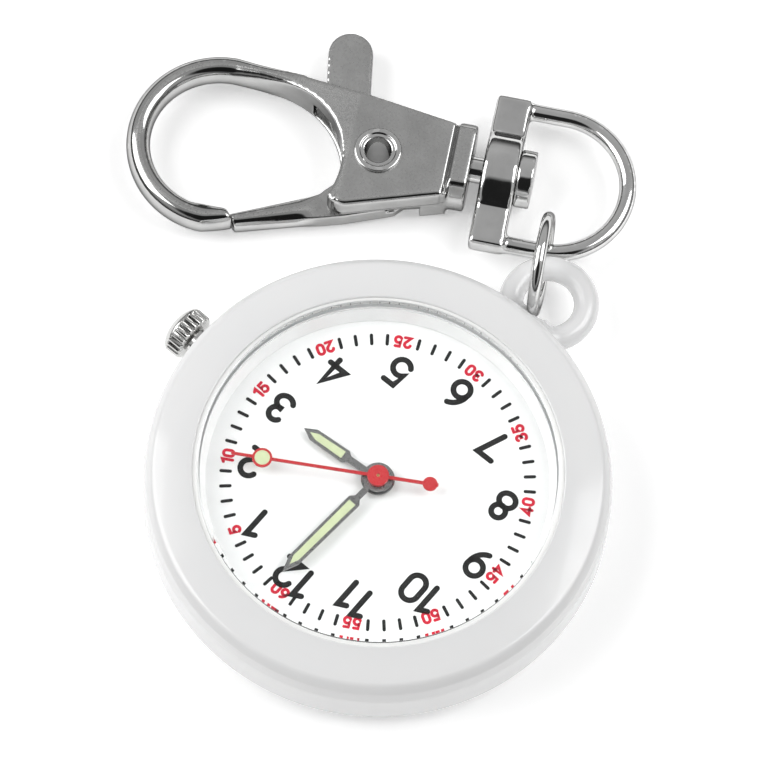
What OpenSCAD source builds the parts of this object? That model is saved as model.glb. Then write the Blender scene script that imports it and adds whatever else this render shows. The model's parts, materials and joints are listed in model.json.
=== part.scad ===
// Clip-on fob watch. Millimetres, +Z up through the glass, +Y towards the bail loop.
// The origin is the centre of the case back's outer face, which rests on the table.
// The dial is printed upside down to the way the watch hangs: its twelve points to -Y
// and its three, where the crown is, to -X.

/* [Case] */
// Outer radius of the case wall
case_radius = 17.4; // [16:0.1:19]
// Radius of the bore that holds the dial and the movement
bore_radius = 13.9; // [13:0.1:15]
// Height of the bezel's inner edge above the case back
case_height = 7.1; // [6:0.1:9]
// Radius of the glass
glass_radius = 13.45; // [12:0.05:14]
// Thickness of the case-back plate
back_thickness = 0.6; // [0.4:0.1:1]

/* [Bail loop] */
// Distance of the loop's centre from the case centre
loop_y = 19.72; // [19:0.05:22]
// Height of the loop's centre line
loop_z = 3.0; // [2:0.05:4]
// Radius of the loop's centre line
loop_radius = 2.85; // [2.4:0.05:3.5]
// Radius of the loop's round section
loop_section = 0.95; // [0.7:0.05:1.3]

/* [Dial and hands] */
// Height of the dial's printed face
dial_z = 4.2; // [3.8:0.1:5]
// Radius of the dial disc
dial_radius = 13.6; // [12:0.1:14]
// Small turn of the dial against the case, as fitted
dial_turn = 1.1; // [-3:0.1:3]
// Direction of the hour hand, in dial minutes from twelve
hour_minutes = 14.39; // [0:0.01:60]
// Direction of the minute hand, in dial minutes from twelve
minute_minutes = 0.62; // [0:0.01:60]
// Direction of the seconds hand, in dial minutes from twelve
seconds_minutes = 9.88; // [0:0.01:60]

/* [Crown and stem] */
// Height of the stem's axis above the case back
stem_z = 3.15; // [2.8:0.05:4]
// Radius over the crown's flutes
crown_radius = 1.9; // [1.5:0.05:2.5]
// Number of flutes round the crown
crown_flutes = 24; // [16:1:40]

/* [Clasp] */
// Position of the swivel axis where it leaves the clasp collar
clasp_x = -11.62; // [-14:0.01:-8]
// Position of the swivel axis across the case
clasp_y = 24.45; // [22:0.01:27]
// Height of the swivel axis
clasp_z = 2.4; // [2:0.05:3]
// Direction in which the clasp points, from +X
clasp_angle = 29.7; // [0:0.1:60]
// Roll of the D-ring about the swivel axis
ring_roll = 0.1; // [0:0.1:15]

/* [Hidden] */
$fn = 64;
eps = 0.01;
dial_thickness = 0.4;
movement_top = dial_z - dial_thickness;
glass_z = 6.0;
hand_thickness = 0.15;
hour_z = 4.6;
minute_z = 4.98;
seconds_z = 5.3;

// Gear sizes: teeth and tooth module of each meshing pair
rotor_module = 0.09;
seconds_module = 0.12;
train_distance = 2.9;
third_module = train_distance / 34;
centre_module = train_distance / 36;
motion_distance = 2.4;
minute_module = motion_distance / 24;
hour_module = motion_distance / 25;

// Positions of the arbors
third_angle = 240;
third_at = train_distance * [cos(third_angle), sin(third_angle)];
inter_angle = 110;
inter_distance = seconds_module * 24;
inter_at = inter_distance * [cos(inter_angle), sin(inter_angle)];
rotor_angle = 20;
rotor_distance = rotor_module * 28;
rotor_at = inter_at + rotor_distance * [cos(rotor_angle), sin(rotor_angle)];
minute_at = [-motion_distance, 0];

// Other places in the movement
battery_at = [5.2, -3.9];
battery_radius = 3.4;
posts = [[-4.6, -0.4], [3.3, 1.3], [-4.6, -4.3], [-4.3, 2.4]];
dial_feet = [[-6.2, -6.0], [7.2, 3.2]];
lever_pivot = [-7.5, -2.2];
yoke_pivot = [-6.3, 2.4];
coil_y = 6.15;
coil_z = 2.15;

// Jump ring: centre, direction of its flat side, size
jump_centre = [-2.25, 21.44, 4.04];
jump_direction = 30.2;
jump_lean = 2.1;
jump_radius = 3.58;
jump_wire = 0.46;

// Clasp sizes, in the clasp's own frame: x along the swivel axis, y towards the tab
body_top = 2.4;
lever_top = 0.1;
lever_bottom = -1.7;
gate_pivot = [-7.1, -0.95];
gate_reach = 12.0;
hook_centre = [-19.05, -1.9];

// ---- helpers ----

// Flat washer or tube from z0 to z1.
module tube(outer, inner, z0, z1) {
  translate([0, 0, z0]) difference() {
    cylinder(r = outer, h = z1 - z0);
    translate([0, 0, -1]) cylinder(r = inner, h = z1 - z0 + 2);
  }
}

// Plain round rod from z0 to z1 at a point.
module rod(at, radius, z0, z1) {
  translate([at[0], at[1], z0]) cylinder(r = radius, h = z1 - z0);
}

// Block between two opposite corners.
module block(low, high) {
  translate(low) cube(high - low);
}

// Solid of revolution about the stem's axis; the profile's y runs outwards along -X.
module on_stem() {
  translate([0, 0, stem_z]) rotate([0, -90, 0]) children();
}

// Toothed disc with tapered teeth; one tooth points in the direction phase.
module gear(teeth, size, z0, z1, phase) {
  r = teeth * size / 2;
  step = 360 / teeth;
  tip = r + 0.72 * size;
  root = r - 0.95 * size;
  points = [for (i = [0 : teeth - 1]) for (c = [[root, -0.24], [tip, -0.10], [tip, 0.10], [root, 0.24]])
    c[0] * [cos(phase + (i + c[1]) * step), sin(phase + (i + c[1]) * step)]];
  translate([0, 0, z0]) linear_extrude(z1 - z0) polygon(points);
}

// Turns a hand drawn along +X to a dial minute.
module to_minute(minutes) {
  rotate([0, 0, dial_turn - 90 - 6 * minutes]) children();
}

// ---- case ----

module case_profile() {
  difference() {
    union() {
      polygon([[glass_radius - 0.25, 1.0], [case_radius - 0.85, 1.0], [case_radius, 1.85], [case_radius, 4.9],
        [17.1, 6.1], [16.62, 6.6], [glass_radius + 0.45, case_height], [glass_radius - 0.25, case_height]]);
      translate([case_radius - 0.85, 1.85]) circle(r = 0.85);
      translate([16.6, 6.1]) circle(r = 0.5);
    }
    square([bore_radius, 5.6]);
    square([14.6, 1.7]);
    square([glass_radius - 0.25 + 0.01, 20]);
    translate([0, glass_z]) square([glass_radius + 0.3, 5]);
  }
}

module case() {
  color("white") difference() {
    union() {
      rotate_extrude() case_profile();
      difference() {
        translate([0, loop_y, loop_z]) rotate_extrude() translate([loop_radius, 0]) circle(r = loop_section);
        cylinder(r = case_radius - 1, h = 10);
      }
      difference() {
        block([-2.3, case_radius - 1, loop_z - 0.8], [2.3, loop_y - 2.0, loop_z + 0.8]);
        translate([0, loop_y, 0]) cylinder(r = loop_radius - 0.2, h = 10);
      }
    }
    on_stem() translate([0, 0, 13]) cylinder(r = 1.1, h = 6);
  }
}

module case_back() {
  color("silver") difference() {
    union() {
      rotate_extrude() polygon([[0, 0], [14.2, 0], [15.5, 0.35], [15.5, back_thickness], [0, back_thickness]]);
      tube(14.55, 14.0, back_thickness, 1.6);
    }
    // lip for a case knife, at the crown side
    rotate([0, 0, 215]) block([15.1, -1.2, 0.1], [17, 1.2, 0.5]);
  }
}

module back_gasket() {
  color("dimgray") tube(15.2, 14.65, back_thickness, 1.0);
}

module crystal() {
  color("lightcyan", 0.35) rotate_extrude() polygon([[0, glass_z], [glass_radius, glass_z],
    [glass_radius, 6.95], [glass_radius - 0.35, 7.3], [0, 7.3]]);
}

module crystal_gasket() {
  color("white") tube(glass_radius + 0.3, glass_radius, glass_z, 6.9);
}

module rehaut_ring() {
  color("gainsboro") rotate_extrude() polygon([[12.7, dial_z], [bore_radius - 0.1, dial_z],
    [bore_radius - 0.1, 5.6], [13.15, 5.6], [12.7, dial_z + 0.2]]);
}

module dial() {
  color("white") difference() {
    union() {
      translate([0, 0, movement_top]) cylinder(r = dial_radius, h = dial_thickness);
      for (p = dial_feet) rod(p, 0.25, movement_top - 0.8, movement_top);
    }
    translate([0, 0, movement_top - 1]) cylinder(r = 0.95, h = 3);
  }
}

// ---- hands ----

// Slender pointed hand along +X: hub, neck, widening body, tip.
module pointed_hand(z, hub, neck, start, shoulder, tip, half) {
  rod([0, 0], hub, z, z + hand_thickness);
  translate([0, 0, z]) linear_extrude(hand_thickness)
    polygon([[0, neck], [start - 0.35, neck], [start, half], [shoulder, half * 0.92], [tip, 0],
      [shoulder, -half * 0.92], [start, -half], [start - 0.35, -neck], [0, -neck]]);
}

// Luminous fill of a hand's window.
module lume_fill(z, start, shoulder, tip, half) {
  translate([0, 0, z]) linear_extrude(hand_thickness)
    polygon([[start, half], [shoulder, half * 0.85], [tip, 0], [shoulder, -half * 0.85], [start, -half]]);
}

module hour_fill() { lume_fill(hour_z, 3.15, 5.55, 6.2, 0.31); }
module minute_fill() { lume_fill(minute_z, 2.75, 8.75, 9.45, 0.31); }
module seconds_fill() { rod([8.66, 0], 0.57, seconds_z, seconds_z + 0.13); }

module hour_hand() {
  color("gray") to_minute(hour_minutes) difference() {
    union() pointed_hand(hour_z, 1.25, 0.26, 2.95, 5.85, 6.73, 0.53);
    rod([0, 0], 0.8, 4, 6);
    hour_fill();
  }
}

module hour_lume() {
  color("honeydew") to_minute(hour_minutes) hour_fill();
}

module minute_hand() {
  color("gray") to_minute(minute_minutes) difference() {
    union() pointed_hand(minute_z, 1.15, 0.23, 2.55, 9.0, 10.2, 0.53);
    rod([0, 0], 0.5, 4, 6);
    minute_fill();
  }
}

module minute_lume() {
  color("honeydew") to_minute(minute_minutes) minute_fill();
}

module seconds_hand() {
  color("crimson") to_minute(seconds_minutes) difference() {
    union() {
      translate([0, 0, seconds_z]) linear_extrude(0.13)
        polygon([[-4.5, -0.13], [-4.5, 0.13], [10.9, 0.11], [11.0, 0], [10.9, -0.11]]);
      rod([8.66, 0], 0.75, seconds_z, seconds_z + 0.13);
      rod([-3.88, 0], 0.55, seconds_z, seconds_z + 0.13);
      rod([0, 0], 0.81, 5.21, 5.52);
    }
    seconds_fill();
    rod([0, 0], 0.13, 5, 6);
  }
}

module seconds_lume() {
  color("honeydew") to_minute(seconds_minutes) seconds_fill();
}

// ---- crown and stem ----

module crown_tube() {
  color("silver") on_stem() tube(1.1, 0.78, 14.1, 17.9);
}

// The crown's sleeve carries the gasket in a groove and the stem in a blind hole.
module crown() {
  color("silver") on_stem() difference() {
    union() {
      translate([0, 0, 15.5]) cylinder(r = 0.7, h = 2.7);
      intersection() {
        translate([0, 0, 18.05]) cylinder(r = crown_radius, h = 1.95);
        translate([0, 0, 16.3]) sphere(r = 3.7);
      }
    }
    translate([0, 0, 15]) cylinder(r = 0.45, h = 2.2);
    tube(1.0, 0.49, 16.4, 16.72);
    for (i = [0 : crown_flutes - 1]) rotate([0, 0, i * 360 / crown_flutes])
      translate([crown_radius + 0.05, 0, 18.35]) cylinder(r = 0.14, h = 2);
  }
}

module crown_gasket() {
  color("dimgray") on_stem() translate([0, 0, 16.56]) rotate_extrude() translate([0.63, 0]) circle(r = 0.13);
}

module stem() {
  color("silver") on_stem() {
    translate([0, 0, 7.3]) cylinder(r = 0.45, h = 9.9);
    translate([0, 0, 6.85]) cylinder(r = 0.22, h = 0.5);
    translate([-0.25, -0.25, 4.8]) cube([0.5, 0.5, 2.1]);
    translate([0, 0, 4.5]) cylinder(r = 0.2, h = 0.35);
  }
}

// ---- movement ----

module movement_ring() {
  color("whitesmoke") difference() {
    translate([0, 0, 0.75]) cylinder(r = bore_radius - 0.1, h = 3.0);
    block([-9.0, -7.75, 0], [9.0, 7.75, 5]);
    block([-15, -0.6, stem_z - 0.6], [-8, 0.6, 5]);
  }
}

module plate_outline() {
  intersection() {
    square([17.8, 15.3], center = true);
    circle(r = 11.2);
  }
}

module main_plate() {
  color("khaki") union() {
    difference() {
      translate([0, 0, 2.5]) linear_extrude(1.28) plate_outline();
      rod(battery_at, battery_radius + 0.15, 2, 3.5);
      block([-3.8, 4.85, 2], [4.2, 7.5, 3.45]);
      rod([0, 0], 0.33, 2, 4);
      rod([0, 0], 2.25, 3.1, 4);
      rod(minute_at, 2.15, 3.1, 4);
      block([-8.2, -0.75, 2], [-4, 0.75, 4]);
      on_stem() translate([0, 0, 5]) cylinder(r = 0.5, h = 10);
      for (p = [third_at, inter_at, rotor_at]) rod(p, 0.1, 2, 2.85);
      for (p = dial_feet) rod(p, 0.25, 2.9, 4);
    }
    for (p = posts) difference() {
      rod(p, 0.6, 1.1, 2.5 + eps);
      rod(p, 0.3, 1, 1.9);
    }
    rod(lever_pivot, 0.3, 1.9, 2.5 + eps);
    rod(yoke_pivot, 0.3, 1.9, 2.5 + eps);
    rod(minute_at, 0.15, 3.1 - eps, 3.77);
  }
}

module train_bridge() {
  color("khaki") difference() {
    translate([0, 0, 0.85]) linear_extrude(0.25) polygon([[-5.4, -5.0], [0.6, -5.0], [2.2, -0.3],
      [4.1, 0.6], [4.1, 4.4], [2.4, 4.6], [-2.0, 4.6], [-5.1, 3.1], [-5.4, -0.6]]);
    for (p = posts) rod(p, 0.3, 0, 2);
    for (p = [third_at, inter_at, rotor_at]) rod(p, 0.1, 0, 2);
    rod([0, 0], 0.16, 0, 2);
  }
}

module screws() {
  color("silver") for (p = posts) difference() {
    union() {
      rod(p, 0.3, 0.75, 1.85);
      rod(p, 0.55, 0.65, 0.85);
    }
    translate([p[0], p[1], 0.65]) block([-1, -0.08, -1], [1, 0.08, 0.08]);
  }
}

module battery() {
  color("silver") {
    rod(battery_at, battery_radius, 0.8, 3.0);
    rod(battery_at, battery_radius - 0.7, 3.0 - eps, 3.4);
  }
}

module positive_contact() {
  color("goldenrod") translate([0, 0, 0.7]) linear_extrude(0.1)
    polygon([[0.1, -6.6], [4.6, -5.2], [6.4, -3.2], [5.6, -2.6], [4.1, -4.3], [0.1, -5.8]]);
}

module negative_contact() {
  color("goldenrod") block([2.9, -4.3, 3.4], [6.6, -3.5, 3.5]);
}

module circuit_board() {
  color("darkgreen") block([-8.5, -7.4, 0.8], [1.0, -5.4, 1.0]);
}

module ic_chip() {
  color("black") block([-1.8, -7.1, 1.0], [0, -5.7, 1.5]);
}

module quartz_can() {
  color("silver") translate([-7.8, -6.4, 1.7]) rotate([0, 90, 0]) cylinder(r = 0.7, h = 5);
}

module coil() {
  color("chocolate") difference() {
    union() {
      translate([-3.3, coil_y, coil_z]) rotate([0, 90, 0]) cylinder(r = 1.0, h = 7);
      for (x = [-3.6, 3.7]) translate([x, coil_y, coil_z]) rotate([0, 90, 0]) cylinder(r = 1.15, h = 0.3);
    }
    block([-5, coil_y - 0.5, coil_z - 0.15], [6, coil_y + 0.5, coil_z + 0.15]);
  }
}

module coil_core() {
  color("gray") {
    block([-5.2, coil_y - 0.5, coil_z - 0.15], [5.6, coil_y + 0.5, coil_z + 0.15]);
    for (x = [-5.2, 4.3]) block([x, coil_y - 0.9, coil_z - 0.15], [x + 1.3, coil_y + 0.9, coil_z + 0.15]);
  }
}

module stator() {
  color("gray") translate([0, 0, 1.7]) linear_extrude(0.3) difference() {
    union() {
      translate([-5.2, 3.6]) square([6.6, 1.1]);
      translate([-5.2, 3.6]) square([1.3, 3.3]);
      translate([1.4, 2.95]) square([4.2, 1.25]);
      translate([4.3, 2.95]) square([1.3, 3.95]);
      translate(rotor_at) circle(r = 1.35);
    }
    translate(rotor_at) circle(r = 0.8);
  }
}

// Rotor pinion on its arbor; the magnet is a separate ring.
module rotor() {
  color("white") {
    translate([rotor_at[0], rotor_at[1], 0])
      gear(8, rotor_module, 1.15, 1.45, rotor_angle + 180 + 22.5);
    rod(rotor_at, 0.14, 1.12, 2.48);
    rod(rotor_at, 0.08, 0.87, 2.8);
  }
}

module rotor_magnet() {
  color("dimgray") translate([rotor_at[0], rotor_at[1], 0]) tube(0.6, 0.14, 1.65, 2.15);
}

module intermediate_wheel() {
  color("white") {
    translate([inter_at[0], inter_at[1], 0]) {
      gear(48, rotor_module, 1.2, 1.32, rotor_angle);
      gear(8, seconds_module, 1.31, 1.68, inter_angle + 180);
    }
    rod(inter_at, 0.12, 1.12, 2.48);
    rod(inter_at, 0.08, 0.87, 2.8);
  }
}

module seconds_wheel() {
  color("gold") {
    gear(40, seconds_module, 1.45, 1.58, inter_angle + 180 / 40);
    rod([0, 0], 0.22, 1.5, 1.8);
    gear(8, third_module, 1.75, 2.1, third_angle + 22.5);
    rod([0, 0], 0.13, 0.87, 5.42);
  }
}

module third_wheel() {
  color("gold") {
    translate([third_at[0], third_at[1], 0]) {
      gear(60, third_module, 1.87, 2.0, third_angle + 180);
      gear(8, centre_module, 2.12, 2.45, third_angle + 180);
    }
    rod(third_at, 0.12, 1.12, 2.48);
    rod(third_at, 0.08, 0.87, 2.8);
  }
}

module centre_wheel() {
  color("gold") difference() {
    union() {
      gear(64, centre_module, 2.2, 2.35, third_angle + 180 / 64);
      rod([0, 0], 0.30, 2.16, 3.95);
    }
    rod([0, 0], 0.17, 2, 5);
  }
}

module cannon_pinion() {
  color("silver") difference() {
    union() {
      gear(12, minute_module, 3.15, 3.42, 180);
      rod([0, 0], 0.5, 3.15, 5.14);
    }
    rod([0, 0], 0.33, 3, 6);
  }
}

module minute_wheel() {
  color("gold") translate([minute_at[0], minute_at[1], 0]) difference() {
    union() {
      gear(36, minute_module, 3.2, 3.36, 5);
      gear(10, hour_module, 3.35, 3.75, 0);
    }
    rod([0, 0], 0.18, 3, 4);
  }
}

module hour_wheel() {
  color("gold") difference() {
    union() {
      gear(40, hour_module, 3.55, 3.7, 180 + 4.5);
      rod([0, 0], 0.8, 3.55, 4.75);
    }
    rod([0, 0], 0.56, 3, 5);
  }
}

// Grooved pinion that slides on the square of the stem.
module sliding_pinion() {
  color("silver") on_stem() difference() {
    union() {
      gear(14, 0.075, 5.6, 5.85, 0);
      translate([0, 0, 5.85]) cylinder(r = 0.4, h = 0.45);
      translate([0, 0, 6.23]) cylinder(r = 0.6, h = 0.27);
    }
    translate([-0.28, -0.28, 5]) cube([0.56, 0.56, 2]);
  }
}

// Flat lever with a pin that stands in a groove beside the stem.
module pin_lever(pivot, pin, pin_radius, pin_top) {
  difference() {
    union() {
      translate([0, 0, 2.25]) linear_extrude(0.2) union() {
        translate(pivot) circle(r = 0.6);
        translate(pin) circle(r = 0.3);
        polygon([pivot + [-0.35, 0], pivot + [0.35, 0], pin + [0.22, 0], pin + [-0.22, 0]]);
      }
      rod(pin, pin_radius, 2.3, pin_top);
    }
    rod(pivot, 0.33, 2, 3);
  }
}

module setting_lever() {
  color("silver") pin_lever(lever_pivot, [-7.1, 0], 0.14, 2.88);
}

module yoke() {
  color("silver") pin_lever(yoke_pivot, [-6.04, 0], 0.12, 2.7);
}

// ---- clasp ----

module in_clasp() {
  translate([clasp_x, clasp_y, clasp_z]) rotate([0, 0, clasp_angle]) children();
}

// Split ring of round wire that links the bail loop and the D-ring.
module jump_ring() {
  color("silver") translate(jump_centre) rotate([0, 0, jump_direction]) rotate([0, 90 - jump_lean, 0])
    rotate([0, 0, 35]) rotate_extrude(angle = 357) translate([jump_radius, 0]) circle(r = jump_wire);
}

module d_ring() {
  color("silver") in_clasp() rotate([ring_roll, 0, 0]) difference() {
    union() {
      // straight legs and round bow
      for (s = [-1, 1]) translate([2.3, s * 5.55, 0]) rotate([0, 90, 0]) cylinder(r = 0.65, h = 4.1);
      translate([6.4, 0, 0]) rotate([0, 0, -90]) rotate_extrude(angle = 180) translate([5.55, 0]) circle(r = 0.65);
      // bar with its barrel round the swivel pin
      block([0.9, -6.15, -0.9], [3.5, 6.15, 0.9]);
      intersection() {
        translate([0.9, 0, -1.6]) rotate([0, 90, 0]) cylinder(r = 3.9, h = 2.6);
        translate([0.9, 0, 1.6]) rotate([0, 90, 0]) cylinder(r = 3.9, h = 2.6);
      }
    }
    rotate([0, 90, 0]) cylinder(r = 1.05, h = 5);
  }
}

module swivel_pin() {
  color("silver") in_clasp() rotate([0, 90, 0]) {
    translate([0, 0, -1.4]) cylinder(r = 1.0, h = 5.0);
    translate([0, 0, 3.56]) cylinder(r = 2.2, h = 1.2);
  }
}

// Opening of the hook, seen from above.
module eye_outline() {
  translate(hook_centre) circle(r = 5.4);
  translate([-15.7, -2.6]) circle(r = 6.05);
  polygon([[-19, -1.9], [-19, 3.5], [-15.7, 3.45], [-12, -2], [-16, -8.6]]);
}

module body_outline() {
  difference() {
    polygon([[-14.5, 4.35], [-8.3, 3.45], [-1.4, 2.45], [-1.4, -3.35], [-8.9, -5.75], [-9.9, -5.5], [-14.5, 0]]);
    eye_outline();
  }
}

// Straight arm from the cheeks to the hook's bend.
module arm_outline() {
  difference() {
    polygon([[-19.05, 5.1], [-13.6, 4.3], [-12.8, 3.0], [-13.4, 1.2], [-19.05, 2]]);
    eye_outline();
  }
}

module hook_outline() {
  difference() {
    union() {
      arm_outline();
      difference() {
        intersection() {
          translate(hook_centre) circle(r = 7.0);
          translate([-27, -10]) square([8.0, 16]);
        }
        eye_outline();
      }
      // the wire keeps its full width up to the tip
      polygon([[-20.2, -7.18], [-18.6, -7.2], [-16.6, -7.1], [-16.6, -8.05], [-17.6, -8.45], [-18.6, -8.76],
        [-19.4, -8.88], [-20.2, -8.8]]);
    }
    // the tip ends on an arc about the gate's pivot
    translate(gate_pivot) difference() {
      circle(r = gate_reach + 0.12);
      translate([-12, -1.5]) square([24, 20]);
    }
  }
}

// Cheeks, hook and collar in one casting, with a slot for the gate lever.
module clasp_body() {
  color("silver") in_clasp() difference() {
    union() {
      intersection() {
        translate([0, 0, -body_top]) linear_extrude(2 * body_top) {
          body_outline();
          arm_outline();
        }
        // the cheeks and the arm thin down to the hook's wire
        translate([0, 10, 0]) rotate([90, 0, 0]) linear_extrude(20)
          polygon([[0, -body_top], [0, body_top], [-9.2, body_top], [-19.2, 1.1], [-19.2, -1.2], [-9.2, -body_top]]);
      }
      translate([0, 0, -1.2]) linear_extrude(2.3) hook_outline();
      intersection() {
        translate([-1.45, 0, 0]) rotate([0, 90, 0]) cylinder(r = 3.3, h = 1.4);
        block([-2, -3.3, -body_top], [0, 3.3, body_top]);
      }
    }
    block([-12.7, -8, lever_bottom - 0.05], [-3.3, 8, lever_top + 0.05]);
    // the lower cheek is set back from the gate's side
    translate([0, 0, -3]) linear_extrude(3 + lever_bottom)
      polygon([[-11, -7], [-1.45, -7], [-1.45, -2.5], [-8.5, -4.5], [-11, -3.6]]);
    rotate([0, 90, 0]) translate([0, 0, -2]) cylinder(r = 1.0, h = 3);
    rod(gate_pivot, 1.35, -4, 4);
    rod(gate_pivot, 1.85, -4, -body_top + 0.25);
  }
}

// Gate arm, hub, tail and thumb tab of the lever in one flat piece.
module lever_blank() {
  intersection() {
    translate([0, 0, lever_bottom]) linear_extrude(lever_top - lever_bottom)
      polygon([[-18.5, -7.75], [-10.9, -4.3], [-9.1, -2.3], [-8.0, 0.2], [-5.3, 0.5], [-4.6, -1.2],
        [-3.9, -3.0], [-5.1, -4.35], [-8.7, -5.75], [-17.5, -8.45]]);
    rod(gate_pivot, gate_reach, -5, 5);
  }
  rod(gate_pivot, 2.4, lever_bottom, lever_top);
  translate([0, 0, lever_bottom]) linear_extrude(lever_top - lever_bottom)
    polygon([[-9.5, -1], [-11.9, 3.3], [-12.5, 7.3], [-9.1, 7.75], [-8.5, 3.4], [-6.2, 0.6]]);
  rod([-10.8, 7.5], 1.7, lever_bottom, lever_top);
}

module gate_lever() {
  color("silver") in_clasp() difference() {
    union() lever_blank();
    rod(gate_pivot, 1.4, -4, 4);
    // pocket for the spring's coil and the way for its leg
    rod(gate_pivot, 2.0, -0.62, 2);
    translate([0, 0, -0.62]) linear_extrude(2)
      polygon([[-7.1, -0.95], [-8.9, 2.3], [-3, 2.3], [-3, -5], [-5.5, -5]]);
  }
}

// Torsion spring round the pivot: a close coil of wire and a leg that rests on the collar end.
module gate_spring() {
  wire = 0.13;
  coil_radius = 1.68;
  top = -0.05;
  pitch = 0.28;
  turns = 1.5;
  steps = 36;
  path = [for (i = [0 : steps]) let (t = turns * i / steps, a = 90 - 360 * t)
    [coil_radius * cos(a), coil_radius * sin(a), top - pitch * t]];
  leg = [for (x = [3.6, 2.4, 1.2]) [x, coil_radius, top]];
  all = concat(leg, path);
  sides = 8;
  n = len(all);
  function way(i) = let (a = all[max(i - 1, 0)], b = all[min(i + 1, n - 1)]) (b - a) / norm(b - a);
  points = [for (i = [0 : n - 1]) let (t = way(i), u = cross(t, [0, 0, 1]), un = u / norm(u), v = cross(un, t))
    for (k = [0 : sides - 1]) all[i] + wire * (cos(360 * k / sides) * un + sin(360 * k / sides) * v)];
  // each four-cornered patch is two triangles
  faces = concat(
    [for (k = [1 : sides - 2]) [0, k, k + 1]],
    [for (i = [0 : n - 2]) for (k = [0 : sides - 1])
      let (a = i * sides + k, b = i * sides + (k + 1) % sides) [a, a + sides, b + sides]],
    [for (i = [0 : n - 2]) for (k = [0 : sides - 1])
      let (a = i * sides + k, b = i * sides + (k + 1) % sides) [a, b + sides, b]],
    [for (k = [1 : sides - 2]) (n - 1) * sides * [1, 1, 1] + [0, k + 1, k]]);
  color("silver") in_clasp() translate([gate_pivot[0], gate_pivot[1], 0]) polyhedron(points, faces);
}

// Hollow eyelet spun over both cheeks.
module pivot_rivet() {
  color("silver") in_clasp() translate([gate_pivot[0], gate_pivot[1], 0]) {
    tube(1.35, 1.0, -body_top + 0.05, body_top + 0.25);
    tube(1.8, 1.0, body_top, body_top + 0.25);
    tube(1.8, 1.0, -body_top + 0.02, -body_top + 0.25);
  }
}

case();
case_back();
back_gasket();
crystal();
crystal_gasket();
rehaut_ring();
dial();
hour_hand();
hour_lume();
minute_hand();
minute_lume();
seconds_hand();
seconds_lume();
crown_tube();
crown();
crown_gasket();
stem();
movement_ring();
main_plate();
train_bridge();
screws();
battery();
positive_contact();
negative_contact();
circuit_board();
ic_chip();
quartz_can();
coil();
coil_core();
stator();
rotor();
rotor_magnet();
intermediate_wheel();
seconds_wheel();
third_wheel();
centre_wheel();
cannon_pinion();
minute_wheel();
hour_wheel();
sliding_pinion();
setting_lever();
yoke();
jump_ring();
d_ring();
swivel_pin();
clasp_body();
gate_lever();
gate_spring();
pivot_rivet();
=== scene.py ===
"""Clip-on fob watch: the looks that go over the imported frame.

Points, outlines and sizes of the object are written in millimetres, and go into the scene in metres.
"""

import json
import math

import bmesh
import bpy
import numpy as np
from mathutils import Matrix, Vector


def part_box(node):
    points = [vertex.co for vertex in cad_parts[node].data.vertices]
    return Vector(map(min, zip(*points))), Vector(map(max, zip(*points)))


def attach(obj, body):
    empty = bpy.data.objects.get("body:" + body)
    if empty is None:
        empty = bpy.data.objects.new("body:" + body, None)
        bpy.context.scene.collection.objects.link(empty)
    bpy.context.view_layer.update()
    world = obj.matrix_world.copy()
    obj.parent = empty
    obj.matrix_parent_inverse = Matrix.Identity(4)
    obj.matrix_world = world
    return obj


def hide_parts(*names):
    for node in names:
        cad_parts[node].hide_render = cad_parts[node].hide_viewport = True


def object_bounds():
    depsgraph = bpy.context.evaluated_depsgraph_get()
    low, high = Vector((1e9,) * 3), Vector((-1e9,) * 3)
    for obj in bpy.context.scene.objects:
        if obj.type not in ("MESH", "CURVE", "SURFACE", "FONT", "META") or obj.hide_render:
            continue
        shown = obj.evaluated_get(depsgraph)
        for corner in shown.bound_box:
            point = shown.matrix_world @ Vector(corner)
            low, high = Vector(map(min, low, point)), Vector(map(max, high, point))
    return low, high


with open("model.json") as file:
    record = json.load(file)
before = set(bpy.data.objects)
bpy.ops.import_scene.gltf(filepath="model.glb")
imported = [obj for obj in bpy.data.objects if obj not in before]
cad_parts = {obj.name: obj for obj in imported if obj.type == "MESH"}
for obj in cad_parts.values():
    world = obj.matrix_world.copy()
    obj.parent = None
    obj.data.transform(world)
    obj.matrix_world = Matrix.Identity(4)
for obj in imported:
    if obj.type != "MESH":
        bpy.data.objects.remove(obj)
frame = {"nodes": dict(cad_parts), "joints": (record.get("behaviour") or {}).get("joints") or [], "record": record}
CAD_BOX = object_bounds()
NODES = frame["nodes"]
JOINTS = {joint["name"]: joint for joint in frame["joints"]}
MM = 0.001

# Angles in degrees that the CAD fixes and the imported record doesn't repeat
DIAL_TURN = 1.1
JUMP_DIRECTION = 30.2
JUMP_LEAN = 2.1

# Dial print. HALF is half a stroke's width, and GAP is a share of the numbers' height
TICK_INNER, TICK_OUTER, TICK_HALF = 10.88, 11.56, 0.125
MINUTE_RADIUS, MINUTE_HEIGHT, MINUTE_GAP, MINUTE_HALF = 11.18, 0.76, 0.34, 0.115
HOUR_RADIUS, HOUR_HEIGHT, HOUR_GAP, HOUR_HALF = 9.35, 2.15, 0.30, 0.215
# the hours that don't sit at HOUR_RADIUS, and how far the ring of hours is off the dial's centre
ODD_HOUR_RADII = {5: 9.05, 7: 9.1, 9: 9.55, 10: 9.0, 11: 9.2, 12: 9.55}
HOUR_SHIFT = (0.16, -0.19)
# the print's underside and top against the dial's face
PRINT_BELOW, PRINT_ABOVE = 0.002, 0.02

# Cast metal, in the clasp's own axes: x along the swivel, y towards the tab
VOXEL_MM = 0.085
SOFTENED_SWELL = 0.06
# how square an oval section is, how much it grows, and how far from the bar's middle it acts
OVAL_POWER, OVAL_GROWTH, OVAL_REACH = 2.2, 1.12, 1.5
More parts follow.
